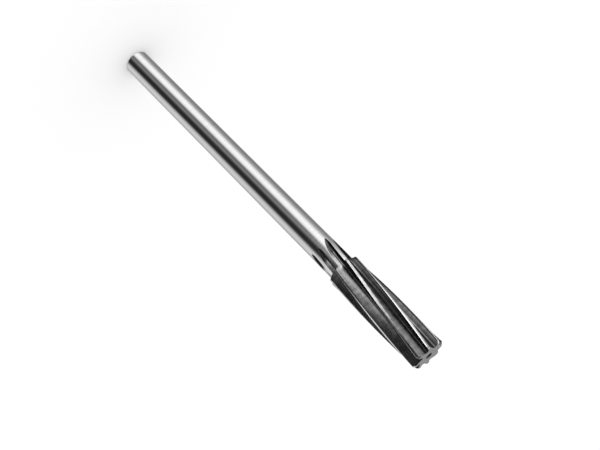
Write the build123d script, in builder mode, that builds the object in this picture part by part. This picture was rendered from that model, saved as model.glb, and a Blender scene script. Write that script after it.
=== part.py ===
from build123d import *
from math import cos, degrees, pi, radians, sin, sqrt, tan
import os

# A straight-shank machine reamer, ground from one bar of high-speed steel.
# Millimetres. The origin is the centre of the flat shank end, +Z runs along
# the tool to its cutting tip, and one tooth's cutting edge ends on +X there.

# Bar and shank
overall_length = 170.0
shank_diameter = 10.0
shank_edge_chamfer = 0.2

# Cutting part: a larger body that a bevelled shoulder joins to the neck
cutting_diameter = 13.0
cutting_length = 42.0
shoulder_length = 1.0
helix_angle = 9.0

# Teeth. The gaps between them differ by a small step, so that the tool doesn't
# chatter, but each tooth still has another one straight across from it.
tooth_count = 8
spacing_step = 1.5

# One tooth: a narrow cylindrical margin, and a relief that falls away to the heel
margin_width = 0.35
land_width = 0.9
relief_angle = 8.0

# One flute: a hooked rake face, a round bottom and a sloping back. The wheel
# that grinds it runs on past the body before it lifts out of the neck.
rake_angle = 8.0
flute_angle = 60.0
flute_corner_radius = 0.8
wheel_diameter = 45.0
flute_overrun = 4.5

# The lead: the bevel at the tip that does the cutting
lead_width = 0.8
lead_angle = 45.0
lead_relief_angle = 10.0

# Centre holes in both ends, in which the tool is held while it is ground
pilot_diameter = 1.25
pilot_depth = 2.8
countersink_diameter = 2.65
countersink_angle = 60.0

# Spacing of the sections that a flute is lofted through, and the room that a
# cutter is given past the surfaces that it cuts
full_depth_spacing = 6.0
runout_spacing = 1.4
cut_clearance = 1.5

shank_radius = shank_diameter / 2
cutting_radius = cutting_diameter / 2
wheel_radius = wheel_diameter / 2
body_end = overall_length - cutting_length
helix_lead = pi * cutting_diameter / tan(radians(helix_angle))

# Gaps between teeth, in the order in which they follow one another, for the
# half turn that the other half repeats. An odd number of teeth repeats nothing.
repeats = 2 if tooth_count % 2 == 0 else 1
group_count = tooth_count // repeats
gap_order = [*range(1, group_count, 2), *range(0, group_count, 2)]
middle = (group_count - 1) / 2
gaps = [360 / tooth_count + spacing_step * (place - middle) for place in gap_order]
tooth_angles = [sum(gaps[:index]) for index in range(group_count)]


def polar(radius, angle):
    """Point at a radius and an angle in degrees, in the plane of a section."""
    return Vector(radius, 0).rotate(Axis.Z, angle)


def flute_corners(gap):
    """Sharp corners of one flute's section, from its own cutting edge to the next tooth's margin.

    The rake face runs down from the cutting edge on the X axis. The back comes
    down from the next tooth's heel at the flute's angle, and they meet below.
    """
    edge = polar(cutting_radius, 0)
    rake_way = polar(1, rake_angle)
    back_way = polar(1, rake_angle + flute_angle)
    margin_end_angle = gap - degrees(margin_width / cutting_radius)
    margin_end = polar(cutting_radius, margin_end_angle)
    relief_way = polar(1, margin_end_angle - 90 - relief_angle)
    heel = margin_end + relief_way * (land_width - margin_width)
    drop = (heel - edge).cross(rake_way).Z / back_way.cross(rake_way).Z
    bottom = heel - back_way * drop
    return {
        "bottom": bottom,
        "rake_top": edge + rake_way * cut_clearance,
        "outside_middle": polar(cutting_radius + cut_clearance, gap / 2),
        "outside_end": polar(cutting_radius + cut_clearance, gap),
        "relief_start": margin_end - relief_way * margin_width,
        "heel": heel,
    }


def core_radius(gap):
    """Least distance from the tool's axis to the round bottom of a flute."""
    to_centre = flute_corner_radius / sin(radians(flute_angle / 2))
    bottom_centre = flute_corners(gap)["bottom"] + polar(to_centre, rake_angle + flute_angle / 2)
    return bottom_centre.length - flute_corner_radius


def flute_plane(height, lift):
    """Plane of one flute section: turned by the helix, and lifted along its X axis."""
    turn = 360 * (height - overall_length) / helix_lead
    return Plane(
        origin=polar(lift, turn) + Vector(0, 0, height),
        x_dir=polar(1, turn),
        z_dir=(0, 0, 1),
    )


def flute_stations(gap):
    """Heights and lifts of a flute's sections, from above the tip to clear of the neck.

    It keeps its full depth to past the body's end, and then rises along the wheel's arc.
    """
    full_depth_top = overall_length + cut_clearance
    full_depth_end = body_end - flute_overrun
    full_depth_steps = round((full_depth_top - full_depth_end) / full_depth_spacing)
    stations = [
        (full_depth_top + (full_depth_end - full_depth_top) * step / full_depth_steps, 0)
        for step in range(full_depth_steps)
    ]
    clear_lift = shank_radius - core_radius(gap) + flute_corner_radius / 4
    runout_length = sqrt(wheel_radius**2 - (wheel_radius - clear_lift) ** 2)
    runout_steps = round(runout_length / runout_spacing)
    for step in range(runout_steps + 1):
        past = runout_length * step / runout_steps
        stations.append((full_depth_end - past, wheel_radius - sqrt(wheel_radius**2 - past**2)))
    return stations


flutes = []
for gap in gaps:
    corners = flute_corners(gap)
    with BuildPart() as flute:
        for height, lift in flute_stations(gap):
            with BuildSketch(flute_plane(height, lift)) as section:
                with BuildLine():
                    Polyline(*corners.values(), close=True)
                make_face()
                bottom_vertex = section.vertices().sort_by_distance(corners["bottom"])[0]
                fillet(bottom_vertex, flute_corner_radius)
        loft()
    flutes.append(flute.part)


def lead_plane(tooth_angle):
    """Plane of one tooth's lead, through its cutting edge and turned back to fall away behind it."""
    lead_height = lead_width / tan(radians(lead_angle))
    low_end = polar(cutting_radius, tooth_angle) + Vector(0, 0, overall_length - lead_height)
    high_end = polar(cutting_radius - lead_width, tooth_angle) + Vector(0, 0, overall_length)
    across = polar(1, tooth_angle + 90 - lead_relief_angle)
    return Plane(origin=low_end, x_dir=across, z_dir=across.cross(high_end - low_end))


# The reamer: a turned blank, fluted, bevelled at the tip and centred at both
# ends. It is one solid.
with BuildPart() as reamer:
    with BuildSketch(Plane.XZ) as blank:
        with BuildLine():
            Polyline(
                (0, 0),
                (shank_radius, 0),
                (shank_radius, body_end - shoulder_length),
                (cutting_radius, body_end),
                (cutting_radius, overall_length),
                (0, overall_length),
                close=True,
            )
        make_face()
        shank_corner = blank.vertices().sort_by_distance((shank_radius, 0))[0]
        chamfer(shank_corner, shank_edge_chamfer)
    revolve(axis=Axis.Z)

    for tooth_angle, flute in zip(tooth_angles, flutes):
        with PolarLocations(0, repeats, start_angle=tooth_angle):
            add(flute, mode=Mode.SUBTRACT)

    for tooth_angle in tooth_angles:
        with BuildPart(lead_plane(tooth_angle), mode=Mode.PRIVATE) as lead_waste:
            Box(
                cutting_radius,
                cutting_radius,
                cut_clearance,
                align=(Align.CENTER, Align.CENTER, Align.MIN),
            )
        with PolarLocations(0, repeats):
            add(lead_waste.part, mode=Mode.SUBTRACT)

    with Locations(Plane.XY.offset(overall_length), Plane.XY.rotated((180, 0, 0))):
        CounterSinkHole(
            pilot_diameter / 2,
            countersink_diameter / 2,
            pilot_depth,
            countersink_angle,
        )

reamer.part.label = "reamer"

os.makedirs("parts", exist_ok=True)
export_step(reamer.part, "parts/reamer.step")
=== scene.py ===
import bpy
import math
import numpy as np
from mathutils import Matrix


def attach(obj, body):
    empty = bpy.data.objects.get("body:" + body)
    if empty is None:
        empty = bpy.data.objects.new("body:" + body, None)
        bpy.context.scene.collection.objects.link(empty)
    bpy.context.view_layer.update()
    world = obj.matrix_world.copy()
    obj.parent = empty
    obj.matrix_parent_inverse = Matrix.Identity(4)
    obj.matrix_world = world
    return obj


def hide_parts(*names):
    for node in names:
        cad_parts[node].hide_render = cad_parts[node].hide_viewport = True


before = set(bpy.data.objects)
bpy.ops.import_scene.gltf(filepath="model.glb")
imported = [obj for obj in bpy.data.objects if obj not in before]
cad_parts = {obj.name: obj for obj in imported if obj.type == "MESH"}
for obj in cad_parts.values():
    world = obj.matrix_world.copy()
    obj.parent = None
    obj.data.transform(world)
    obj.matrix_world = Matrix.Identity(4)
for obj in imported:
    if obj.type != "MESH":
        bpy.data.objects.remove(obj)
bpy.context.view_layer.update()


# ---- The reamer: the bar that it is ground from ----
# One bar of high-speed steel, turned and ground round: a shank and neck of one
# thickness, a bevelled shoulder and a larger body, square at both ends.

# The reamer's sizes are in millimetres and degrees, and heights count from the end
# of its shank. The tones say how light the steel is: the bar's own, and in the flutes,
# on the margins and in the centre holes with painted shade, highlights and reflections.
mm = 0.001
overall_length = 170.0
shank_radius = 5.0
body_radius = 6.5
body_end = 128.0
shoulder_length = 1.0
bar_tone = 0.66


def fade(value, start, end):
    """Share that grows evenly from 0 to 1 as a value goes from start to end."""
    return np.clip((value - start) / (end - start), 0, 1)


def bar_radius(height):
    """Radius of the bar before it is fluted: the shank's, then a cone up to the body's."""
    return shank_radius + (body_radius - shank_radius) * fade(height, body_end - shoulder_length, body_end)


# ---- The reamer: its teeth and flutes ----
# Eight teeth with slightly unequal gaps, each straight across from another. A
# grinding wheel cut the flutes along a right-hand helix and ran out in the neck.

tooth_gaps = [44.25, 47.25, 42.75, 45.75] * 2
tooth_angles = np.concatenate([[0], np.cumsum(tooth_gaps)[:-1]])
helix_angle = 9.0
helix_lead = math.pi * 2 * body_radius / math.tan(math.radians(helix_angle))
margin_width = 0.35
land_width = 0.9
relief_angle = 8.0
heel_radius = 0.2
rake_angle = 8.0
flute_angle = 60.0
flute_corner_radius = 0.8
wheel_radius = 22.5
wheel_overrun = 4.5
full_depth_end = body_end - wheel_overrun
lead_width = 0.8
lead_relief_angle = 10.0
edge_rounding = 0.03
# A margin on the body is painted: a painted highlight at its cutting edge and painted shade beside its
# relief
edge_painted_highlight = 0.95
relief_painted_shade = 0.35

# Heights of the rings of points: few on the plain shank, and many where the flutes
# run out and at the bevels. Below the run-outs the columns no longer turn.
shank_heights = [0.24, 0.6, 2, 6, 12, 20, 30, 40, 50, 60, 70, 80, 90, 98, 104, 108, 110, 112]
neck_heights = np.concatenate([np.arange(112.6, 114.9, 0.6), np.arange(115.0, 126.9, 0.2)])
shoulder_heights = [126.9, 126.97, 127.03, 127.15, 127.5, 127.85, 127.97, 128.03, 128.12]
body_heights = np.linspace(128.4, 168.8, 54)
lead_heights = [168.9, 169.0, 169.06, 169.12, 169.16, 169.2, 169.24, 169.3, 169.5, 169.75, 169.9, 169.97]
heights = np.concatenate([shank_heights, neck_heights, shoulder_heights, body_heights, lead_heights])
tall = heights[:, None]
twist_end = 112.0
turns = 360 * (np.maximum(tall, twist_end) - overall_length) / helix_lead

# Points on a flute's two arcs, on its whole outline when that is searched, across
# its surface and across a margin.
bottom_count = 25
heel_count = 13
search_count = 900
flute_count = 44
margin_count = 14

# How far an outline starts outside the bar, and the columns below a run-out's tip:
# how wide they fan out, and over what height.
clearance = 1.5
fan_angle = 24
fan_height = 3


def polar(radius, angle):
    """Point or points at a radius and an angle in degrees."""
    angle = np.radians(angle)
    return np.stack([radius * np.cos(angle), radius * np.sin(angle)], axis=-1)


def corner_arc(before, corner, after, radius, count):
    """Arc that rounds a corner: it touches both sides, and its points turn evenly between them."""
    one = (before - corner) / np.linalg.norm(before - corner)
    other = (after - corner) / np.linalg.norm(after - corner)
    half = np.arccos(one @ other) / 2
    centre = corner + (one + other) / np.linalg.norm(one + other) * radius / np.sin(half)
    start = corner + one * radius / np.tan(half) - centre
    end = corner + other * radius / np.tan(half) - centre
    turn = np.pi - 2 * half
    share = np.linspace(0, 1, count)[:, None]
    return centre + (np.sin((1 - share) * turn) * start + np.sin(share * turn) * end) / np.sin(turn)


def flute_outline(gap):
    """One flute's section from outside its rake face to outside the next tooth's relief.

    The cutting edge is on the X axis. The rake face runs in at the rake angle, an
    arc turns it into the back, and a smaller arc turns the back into the relief.
    """
    edge = polar(body_radius, 0.0)
    rake_way = polar(1.0, rake_angle)
    back_way = polar(1.0, rake_angle + flute_angle)
    margin_end_angle = gap - math.degrees(margin_width / body_radius)
    margin_end = polar(body_radius, margin_end_angle)
    relief_way = polar(1.0, margin_end_angle - 90 - relief_angle)
    heel = margin_end + relief_way * (land_width - margin_width)
    across = rake_way[0] * (edge - heel)[1] - rake_way[1] * (edge - heel)[0]
    drop = across / (rake_way[1] * back_way[0] - rake_way[0] * back_way[1])
    bottom = heel - back_way * drop
    rake_top = edge + rake_way * clearance
    relief_top = margin_end - relief_way * margin_width
    return np.concatenate([
        rake_top[None],
        corner_arc(rake_top, bottom, heel, flute_corner_radius, bottom_count),
        corner_arc(bottom, heel, relief_top, heel_radius, heel_count),
        relief_top[None],
    ])


def wheel_lift(height):
    """How far the round wheel has risen: none on the full-depth flute, then its own circle.

    The circle is followed down to nine tenths of the wheel's radius, well clear of the neck.
    """
    past = np.clip(full_depth_end - height, 0, 0.9 * wheel_radius)
    return wheel_radius - np.sqrt(wheel_radius**2 - past**2)


def lead_edge_radius(height):
    """Radius of the cutting edge on the lead: a 45 degree bevel that narrows to the tip."""
    return body_radius - lead_width + (overall_length - height)


def depth_in_lead(height, points, tooth_angle):
    """How far inside the bevel of a tooth's lead each point is.

    The bevel is a flat through the cutting edge, turned back behind it by the relief.
    """
    normal = polar(1.0, tooth_angle - lead_relief_angle)
    return lead_edge_radius(height) * math.cos(math.radians(lead_relief_angle)) - points @ normal


def cut_span(gap, outline, run):
    """Where the cut starts and ends along a flute's outline at each height, and whether there is one.

    The outline is moved out by the wheel's lift. It cuts where it is inside the bar
    and inside the leads of both its teeth. Each end of the cut is where that depth
    passes zero, on the straight line between two of the searched points.
    """
    fine = np.linspace(0, run[-1], search_count)
    shape = np.stack([np.interp(fine, run, outline[:, 0]), np.interp(fine, run, outline[:, 1])], -1)
    lift = wheel_lift(heights)
    placed = shape[None] + np.stack([lift, 0 * lift], -1)[:, None]
    depth = np.minimum(
        bar_radius(tall) - np.linalg.norm(placed, axis=2),
        np.minimum(depth_in_lead(tall, placed, 0.0), depth_in_lead(tall, placed, gap)),
    )
    inside = depth > 0
    is_cut = inside.any(axis=1)
    first = np.where(is_cut, inside.argmax(axis=1), 1)
    last = np.where(is_cut, search_count - 1 - inside[:, ::-1].argmax(axis=1), 1)
    before = np.maximum(first - 1, 0)
    after = np.minimum(last + 1, search_count - 1)
    rows = np.arange(len(heights))
    never_zero = 1e-12
    part_in = depth[rows, before] / (depth[rows, before] - depth[rows, first] - never_zero)
    part_out = depth[rows, last] / (depth[rows, last] - depth[rows, after] + never_zero)
    start = fine[before] + np.clip(part_in, 0, 1) * (fine[first] - fine[before])
    end = fine[last] + np.clip(part_out, 0, 1) * (fine[after] - fine[last])
    return start, end, is_cut


def flute_shares(width):
    """Shares of a flute's width: even steps, with two close ones at each side that round its edges.

    The close ones stay within 2 and 6 percent of the width where it is narrow.
    """
    close = np.array([[edge_rounding, 4 * edge_rounding]]) / np.maximum(width, 1e-6)[:, None]
    near = np.minimum(close, [[0.02, 0.06]])
    even = np.linspace(0, 1, flute_count)[None, 2:-2]
    middle = near[:, 1:] + even * (1 - 2 * near[:, 1:])
    return np.concatenate([near, middle, 1 - near[:, ::-1]], axis=1)


def flute_painted_shade(along, share, run):
    """How light the steel is in a flute, with painted shade and dark reflections: painted
    dark at the rake face's edge and in the round bottom.

    The tone goes by straight steps between places along the outline. In the neck it
    goes over, within a short height, to the run-out's own, by share of the width.
    """
    bottom_start, bottom_end, heel_start = run[[1, bottom_count, bottom_count + 1]]
    body_painted_shades = [
        (clearance, 0.03),
        (clearance + 0.35, 0.03),
        (clearance + 0.7, 0.36),
        (bottom_start + 0.6, 0.36),
        (bottom_start + 0.85, 0.03),
        (bottom_start + 1.25, 0.03),
        (bottom_start + 1.4, 0.10),
        (bottom_end + 0.3, 0.12),
        (bottom_end + 0.7, 0.38),
        (heel_start, 0.42),
    ]
    neck_painted_shades = [(0, 0.01), (0.36, 0.03), (0.56, 0.40), (1, 0.28)]
    in_neck = np.interp(share, *zip(*neck_painted_shades))
    in_body = np.interp(along, *zip(*body_painted_shades))
    return in_neck + (in_body - in_neck) * fade(tall, body_end - 1.5, body_end + 1)


def flute_columns(gap):
    """One flute's points at every height, as angles and radii, with what its finish reads.

    They are spread along the outline where it cuts, moved out by the wheel's lift.
    Below the run-out's tip they lie on the bar and fan out around the tip's angle.
    """
    outline = flute_outline(gap)
    run = np.concatenate([[0], np.cumsum(np.linalg.norm(np.diff(outline, axis=0), axis=1))])
    start, end, is_cut = cut_span(gap, outline, run)
    share = flute_shares(end - start)
    along = start[:, None] + share * (end - start)[:, None]
    x = np.interp(along, run, outline[:, 0]) + wheel_lift(tall)
    y = np.interp(along, run, outline[:, 1])
    angle = np.degrees(np.arctan2(y, x))
    tip_row = int(np.argmax(is_cut))
    fan = fan_angle * np.clip((heights[tip_row] - tall) / fan_height, 0.02, 1)
    fanned = angle[tip_row].mean() + np.linspace(-0.5, 0.5, angle.shape[1]) * fan
    cut = is_cut[:, None]
    return {
        "angle": np.where(cut, angle, fanned),
        "radius": np.where(cut, np.hypot(x, y), bar_radius(tall)),
        "flute": np.where(cut, np.ones_like(along), 0),
        "across": along,
        # In the cut the flute carries its painted shade and dark reflections
        "tone": np.where(cut, flute_painted_shade(along, share, run), bar_tone),
        "back": np.clip(along, run[bottom_count], run[bottom_count + 1]) - run[bottom_count],
    }


def margin_columns(gap_before, flute_before, flute_after):
    """One margin's points at every height, from the flute behind it to its own cutting edge.

    They lie on the bar, or on the lead's flat where that is further in: the edge's
    radius times the cosine of the relief, over the cosine of the turn from the normal.
    The margin has a painted highlight towards its edge and painted shade beside the relief
    behind it.
    """
    start = flute_before["angle"][:, -1:] - gap_before
    end = flute_after["angle"][:, :1]
    room = end - start
    close = np.minimum(np.degrees(np.array([[1.0, 4.0]]) * edge_rounding / body_radius), 0.2 * room)
    even = np.linspace(0, 1, margin_count)[None]
    middle = start + close[:, 1:] + even * (room - 2 * close[:, 1:])
    angle = np.concatenate([start + close[:, :1], middle, end - close[:, :1]], axis=1)

    lead_relief = math.cos(math.radians(lead_relief_angle))
    bevel = lead_edge_radius(tall) * lead_relief / np.cos(np.radians(angle + lead_relief_angle))
    near_tip = tall > overall_length - 5
    radius = np.where(near_tip, np.minimum(bar_radius(tall), bevel), bar_radius(tall))

    from_relief = np.radians(angle - start) * body_radius
    # Painted highlight towards the cutting edge, painted shade beside the relief
    margin_painted_light = relief_painted_shade + (edge_painted_highlight - relief_painted_shade) * fade(from_relief, 0.16, 0.28)
    back_start = flute_before["back"][:, -1:]
    back_end = flute_after["back"][:, :1]
    return {
        "angle": angle,
        "radius": radius,
        "flute": np.zeros_like(angle),
        "across": np.radians(angle) * body_radius,
        "tone": bar_tone + (margin_painted_light - bar_tone) * fade(tall, body_end - 0.6, body_end - 0.3),
        "back": back_start + (back_end - back_start) * np.linspace(0, 1, angle.shape[1]),
    }


flutes = [flute_columns(gap) for gap in tooth_gaps]
columns = []
for tooth, tooth_angle in enumerate(tooth_angles):
    margin = margin_columns(tooth_gaps[tooth - 1], flutes[tooth - 1], flutes[tooth])
    for part in (margin, flutes[tooth]):
        columns.append({**part, "angle": part["angle"] + (tooth_angle + turns)})
side = {name: np.concatenate([part[name] for part in columns], axis=1) for name in columns[0]}


# ---- The reamer: its two ends ----
# Both ends are square and hold a 60 degree centre hole, in which the bar turns
# while it is ground. The shank end has a small chamfer.

mouth_radius = 1.325
pilot_radius = 0.625
pilot_depth = 2.8
cone_slope = math.tan(math.radians(30))
cone_depth = (mouth_radius - pilot_radius) / cone_slope
# The centre holes are painted dark: painted shade in their recesses
hole_painted_shade = 0.08

# Radii and depths of the rings in a centre hole, from its bottom to its mouth, and
# radii and heights of those on the shank end, from the hole to the chamfer.
hole_profile = [
    (0.05, pilot_depth),
    (0.35, pilot_depth),
    (pilot_radius - 0.03, pilot_depth),
    (pilot_radius, pilot_depth - 0.03),
    (pilot_radius, 2.0),
    (pilot_radius, cone_depth + 0.04),
    (pilot_radius + 0.03, cone_depth - 0.04),
    (0.98, (mouth_radius - 0.98) / cone_slope),
    (mouth_radius - 0.03, 0.05),
    (mouth_radius + 0.03, 0.004),
]
shank_end_profile = [
    (mouth_radius + 0.12, 0.0),
    (2.2, 0.0),
    (3.4, 0.0),
    (4.4, 0.0),
    (4.76, 0.0),
    (4.83, 0.02),
    (4.90, 0.10),
    (4.975, 0.17),
]

# The end face: from the last ring around the teeth, each point goes in to a hub
# ring, a little back from its own angle so that no line leaves its tooth.
hub_radius = 3.3
hub_sweep = 10
hub_shares = (0.3, 0.65, 1.0)
inner_radii = (2.4, 1.8, mouth_radius + 0.12)
rim_drop = 0.006


def ring_points(angles, radii, height):
    """Points around the axis: the cosine and sine of each angle times its radius, at a height."""
    angles = np.radians(angles)
    return np.stack([radii * np.cos(angles), radii * np.sin(angles), height + 0 * angles], -1)


foot_angles = side["angle"][0]
foot_rings = [
    ring_points(foot_angles, radius, height) for radius, height in hole_profile + shank_end_profile
]
side_rings = ring_points(side["angle"], side["radius"], tall)

brim = side_rings[-1].copy()
brim_radius = np.hypot(brim[:, 0], brim[:, 1])
brim[:, 2] = overall_length
hub_angles = side["angle"][-1] - hub_sweep * (brim_radius - hub_radius) / (body_radius - hub_radius)
hub = ring_points(hub_angles, hub_radius, overall_length)
inward = (hub - brim) / np.linalg.norm(hub - brim, axis=1)[:, None]
tip_rings = [brim + inward * edge_rounding - [0, 0, rim_drop], brim + inward * (4 * edge_rounding)]
tip_rings += [brim + (hub - brim) * share for share in hub_shares]
tip_rings += [ring_points(hub_angles, radius, overall_length) for radius in inner_radii]
tip_rings += [
    ring_points(hub_angles, radius, overall_length - depth) for radius, depth in hole_profile[::-1]
]

# One grid of rings, closed around the axis, with a point in the bottom of each hole
grid = np.concatenate([np.stack(foot_rings), side_rings, np.stack(tip_rings)])
row_count, column_count = grid.shape[:2]
hole_bottoms = [[0, 0, pilot_depth], [0, 0, overall_length - pilot_depth]]
points = np.concatenate([grid.reshape(-1, 3), hole_bottoms]) * mm
index = np.arange(row_count * column_count).reshape(row_count, column_count)
beside = np.roll(index, -1, axis=1)
quads = np.stack([index[:-1], beside[:-1], beside[1:], index[1:]], -1).reshape(-1, 4)
foot_bottom = np.stack([beside[0], index[0], np.full(column_count, len(points) - 2)], -1)
tip_bottom = np.stack([index[-1], beside[-1], np.full(column_count, len(points) - 1)], -1)

# What the finish reads at each point: its share of flute, its place across the
# flute, its lightness with the painted shade, highlights and reflections, and how
# far up the flute's back it is
side_rows = slice(len(foot_rings), len(foot_rings) + len(heights))
marks = {}
for name, elsewhere in (("flute", 0.0), ("across", 0.0), ("tone", bar_tone), ("back", 0.0)):
    marks[name] = np.full((row_count, column_count), elsewhere)
    marks[name][side_rows] = side[name]
hole_rows = len(hole_profile) - 1
# Painted shade in the centre holes
marks["tone"][:hole_rows] = hole_painted_shade
marks["tone"][-hole_rows:] = hole_painted_shade
marks["across"][side_rows.stop:] = side["across"][-1]
# The points in the holes' bottoms take 0.05 for each mark; for the steel's lightness that is painted shade
bottom_marks = [0.05, 0.05]

mesh = bpy.data.meshes.new("reamer_body")
mesh.from_pydata(points.tolist(), [], quads.tolist() + foot_bottom.tolist() + tip_bottom.tolist())
mesh.polygons.foreach_set("use_smooth", np.ones(len(mesh.polygons), bool))
for name, values in marks.items():
    attribute = mesh.attributes.new(name, "FLOAT", "POINT")
    attribute.data.foreach_set("value", np.append(values.ravel(), bottom_marks).astype(np.float32))
mesh.update()
reamer = bpy.data.objects.new("reamer_body", mesh)
bpy.context.scene.collection.objects.link(reamer)


# ---- The reamer: its finish ----
# Bare steel, nearly polished where the bar was ground round, with fine rings. In
# the flutes the wheel left it duller, with marks along and across them, and its
# colour there is painted darker with shade and dark reflections.

class Value:
    """A shader socket that takes part in sums: each operator adds its Math node."""

    def __init__(self, tree, socket):
        self.tree = tree
        self.socket = socket

    def combine(self, operation, *others):
        node = self.tree.nodes.new("ShaderNodeMath")
        node.operation = operation
        for slot, item in enumerate((self, *others)):
            if isinstance(item, Value):
                self.tree.links.new(item.socket, node.inputs[slot])
            else:
                node.inputs[slot].default_value = item
        return Value(self.tree, node.outputs[0])

    def __add__(self, other):
        return self.combine("ADD", other)

    def __mul__(self, other):
        return self.combine("MULTIPLY", other)

    def __sub__(self, other):
        return self + other * -1.0

    def __rsub__(self, other):
        return self * -1.0 + other

    __radd__ = __add__
    __rmul__ = __mul__


class Shader:
    """The nodes of one material or of the world."""

    def __init__(self, tree):
        self.tree = tree
        tree.nodes.clear()

    def node(self, kind, settings=None, **inputs):
        """Adds a node of a kind, with its settings first and then its values or links by socket name."""
        made = self.tree.nodes.new(kind)
        for name, value in (settings or {}).items():
            if name == "stops":
                ramp = made.color_ramp
                while len(ramp.elements) < len(value):
                    ramp.elements.new(0.5)
                for element, (position, level) in zip(ramp.elements, value):
                    element.position = position
                    element.color = (level, level, level, 1)
            else:
                setattr(made, name, value)
        for name, value in inputs.items():
            socket = made.inputs[int(name[1:]) if name[0] == "_" else name.replace("_", " ")]
            if isinstance(value, Value):
                self.tree.links.new(value.socket, socket)
            elif isinstance(value, bpy.types.NodeSocket):
                self.tree.links.new(value, socket)
            else:
                socket.default_value = value
        return made

    def value(self, node, output=0):
        return Value(self.tree, node.outputs[output])


steel = bpy.data.materials.new("ground_steel")
steel.use_nodes = True
look = Shader(steel.node_tree)
place = look.node("ShaderNodeTexCoord").outputs["Object"]


def mark(name):
    """One of the numbers that the reamer's points carry."""
    return look.value(look.node("ShaderNodeAttribute", {"attribute_name": name}), "Fac")


def noise(stretch, detail):
    """Smooth noise over the piece, with its own number of features per metre along each axis."""
    stretched = look.node("ShaderNodeVectorMath", {"operation": "MULTIPLY"}, _0=place, _1=stretch)
    return look.value(look.node(
        "ShaderNodeTexNoise", Vector=stretched.outputs[0], Scale=1.0, Detail=detail,
    ))


# Fine rings around the bar, soft marks across a flute, and lines along it that are
# spaced by its own width. All three are between 0 and 1.
lines_per_mm = 3.2
rings = noise((60, 60, 1600), 1.0)
smudge = noise((360, 360, 620), 2.0)
lines = look.value(look.node(
    "ShaderNodeTexNoise",
    {"noise_dimensions": "1D"},
    W=mark("across") * lines_per_mm,
    Scale=1.0,
    Detail=1.0,
))

# A flute's back is shaded as if it were a little flatter than it is
back_tilt = 10
hollow = look.node(
    "ShaderNodeBump",
    Strength=1.0,
    Distance=1.0,
    Height=mark("back") * (-mm * math.tan(math.radians(back_tilt))),
)

# The steel's lightness, with the painted shade, highlights and reflections in it
tone = mark("tone")
round_ground = look.node(
    "ShaderNodeBsdfPrincipled",
    Base_Color=tone * (rings * 0.14 + 0.93),
    Metallic=1.0,
    Roughness=rings * 0.04 + 0.10,
)
flute_ground = look.node(
    "ShaderNodeBsdfPrincipled",
    Base_Color=tone * (smudge * 1.3 + 0.35) * (lines * 0.5 + 0.75),
    Metallic=1.0,
    Roughness=smudge * 0.06 + 0.21,
    Specular_Tint=(0.4, 0.4, 0.4, 1),
    Anisotropic=0.8,
    Normal=hollow.outputs[0],
)
both = look.node(
    "ShaderNodeMixShader", _0=mark("flute"), _1=round_ground.outputs[0], _2=flute_ground.outputs[0],
)
look.node("ShaderNodeOutputMaterial", Surface=both.outputs[0])
mesh.materials.append(steel)

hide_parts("reamer")
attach(reamer, "root")


# ---- The floor ----
# A plain matte white board, on which the reamer stands on its shank end. It is a
# shade over white, to come out white in the picture, and the steel doesn't mirror it.

half_width = 3
floor_mesh = bpy.data.meshes.new("floor")
floor_corners = [(x * half_width, y * half_width, 0) for x, y in ((-1, -1), (1, -1), (1, 1), (-1, 1))]
floor_mesh.from_pydata(floor_corners, [], [(0, 1, 2, 3)])
floor = bpy.data.objects.new("floor", floor_mesh)
bpy.context.scene.collection.objects.link(floor)
white_floor = bpy.data.materials.new("white_floor")
white_floor.use_nodes = True
paint = Shader(white_floor.node_tree)
matte = paint.node("ShaderNodeBsdfDiffuse", Color=(1.06, 1.06, 1.06, 1))
paint.node("ShaderNodeOutputMaterial", Surface=matte.outputs[0])
floor_mesh.materials.append(white_floor)
floor.visible_glossy = False


# ---- The light ----
# An even white room for the eye and on the floor. What the steel reflects is a
# photographer's tent around it: white walls and a table, with dark gaps between.

# How bright each part of the tent is, as bearings around it in degrees and levels,
# where 1 is white. Bearings count from the tent's own front.
tent_bearing = 12.0
brightest = 2.5
table_light = [
    (-180, 0.52), (-152, 0.38), (-128, 0.27), (-100, 0.42), (-84, 0.65), (-72, 1.10),
    (-60, 1.40), (-40, 1.42), (-28, 1.10), (-18, 0.42), (-9, 0.13), (0, 0.29),
    (8, 0.27), (18, 0.12), (28, 0.03), (48, 0.03), (58, 0.08), (70, 0.50),
    (80, 0.80), (100, 0.92), (116, 0.84), (132, 0.60), (150, 0.58), (180, 0.52),
]
low_wall_light = [
    (-180, 0.80), (-125, 0.95), (-105, 1.90), (-90, 2.50), (-12, 2.50), (0, 1.20),
    (8, 0.15), (60, 0.06), (70, 0.40), (84, 1.50), (150, 1.50), (180, 0.80),
]
high_wall_light = [
    (-180, 0.15), (-160, 0.18), (-124, 0.27), (-100, 0.36), (-80, 0.44), (-64, 0.46), (-52, 0.32),
    (-38, 0.10), (-26, 0.04), (-12, 0.01), (120, 0.01), (150, 0.06), (180, 0.15),
]
top_wall_light = [
    (-180, 0.04), (-160, 0.06), (-124, 0.14), (-100, 0.34), (-76, 0.60), (-54, 0.72), (-42, 0.60),
    (-24, 0.20), (-12, 0.05), (0, 0.03), (30, 0.05), (120, 0.03), (180, 0.04),
]
roof_light = [
    (-180, 0.46), (-140, 0.80), (-110, 0.70), (-75, 0.40), (-30, 0.40),
    (30, 0.30), (60, 0.10), (95, 0.10), (130, 0.50), (180, 0.46),
]

# Each part above the table, and the two angles from the horizon between which it
# takes over from the part below it
higher_parts = [
    (low_wall_light, -24.5, -19),
    (high_wall_light, -15.5, -13),
    (top_wall_light, -10.5, -8),
    (roof_light, 6, 20),
]

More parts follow.
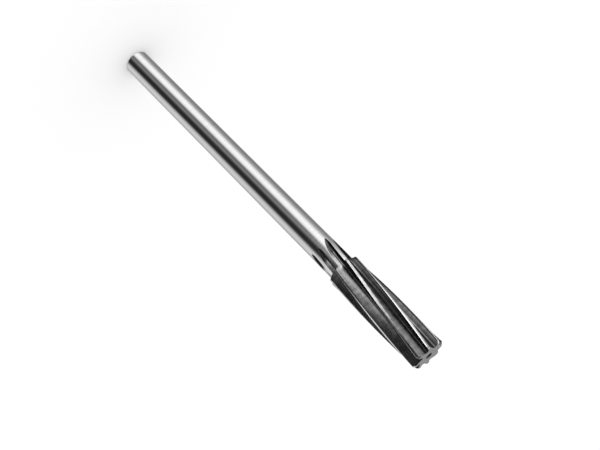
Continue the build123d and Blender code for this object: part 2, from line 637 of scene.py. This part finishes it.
world = bpy.data.worlds.new("studio")
bpy.context.scene.world = world
world.use_nodes = True
room = Shader(world.node_tree)
ray = room.node("ShaderNodeLightPath")
way = room.node("ShaderNodeTexCoord")
turned = room.node(
    "ShaderNodeVectorRotate",
    {"rotation_type": "Z_AXIS"},
    Vector=way.outputs["Generated"],
    Angle=-math.radians(tent_bearing),
)
parts = room.node("ShaderNodeSeparateXYZ", Vector=turned.outputs[0])
bearing = room.value(parts, 1).combine("ARCTAN2", room.value(parts, 0)) * (0.5 / math.pi) + 0.5
rise = room.value(parts, 2)


def around(light):
    """Light from one part of the tent, by straight steps between its bearings."""
    stops = [((angle + 180) / 360, level / brightest) for angle, level in light]
    return room.value(room.node("ShaderNodeValToRGB", {"stops": stops}, Fac=bearing)) * brightest


def above(low, high):
    """Share that grows smoothly from 0 to 1 between two angles from the horizon."""
    return room.value(room.node(
        "ShaderNodeMapRange",
        {"interpolation_type": "SMOOTHSTEP"},
        Value=rise,
        From_Min=math.sin(math.radians(low)),
        From_Max=math.sin(math.radians(high)),
    ))


level = around(table_light)
for light, low, high in higher_parts:
    level = level + (around(light) - level) * above(low, high)
tent = room.node("ShaderNodeBackground", Color=(1, 1, 1, 1), Strength=level)
white = room.node("ShaderNodeBackground", Color=(1, 1, 1, 1), Strength=1.04)
plain = room.value(ray, "Is Camera Ray").combine("MAXIMUM", room.value(ray, "Is Diffuse Ray"))
seen = room.node("ShaderNodeMixShader", _0=plain, _1=tent.outputs[0], _2=white.outputs[0])
room.node("ShaderNodeOutputWorld", Surface=seen.outputs[0])


# ---- The camera ----
# It looks down at the standing reamer and is rolled, so that the shank's end is
# at the upper left of the picture and the cutting tip at the lower right.

camera_data = bpy.data.cameras.new("camera")
camera_data.sensor_width = 36
camera_data.lens = 57.8
camera_data.clip_start = 0.01
camera = bpy.data.objects.new("camera", camera_data)
camera.location = (0.299888, 0.06348, 0.255239)
camera.rotation_euler = [math.radians(angle) for angle in (-55.0806, -39.1757, -101.7957)]
bpy.context.scene.collection.objects.link(camera)
bpy.context.scene.camera = camera

bpy.context.scene.view_settings.view_transform = "Standard"
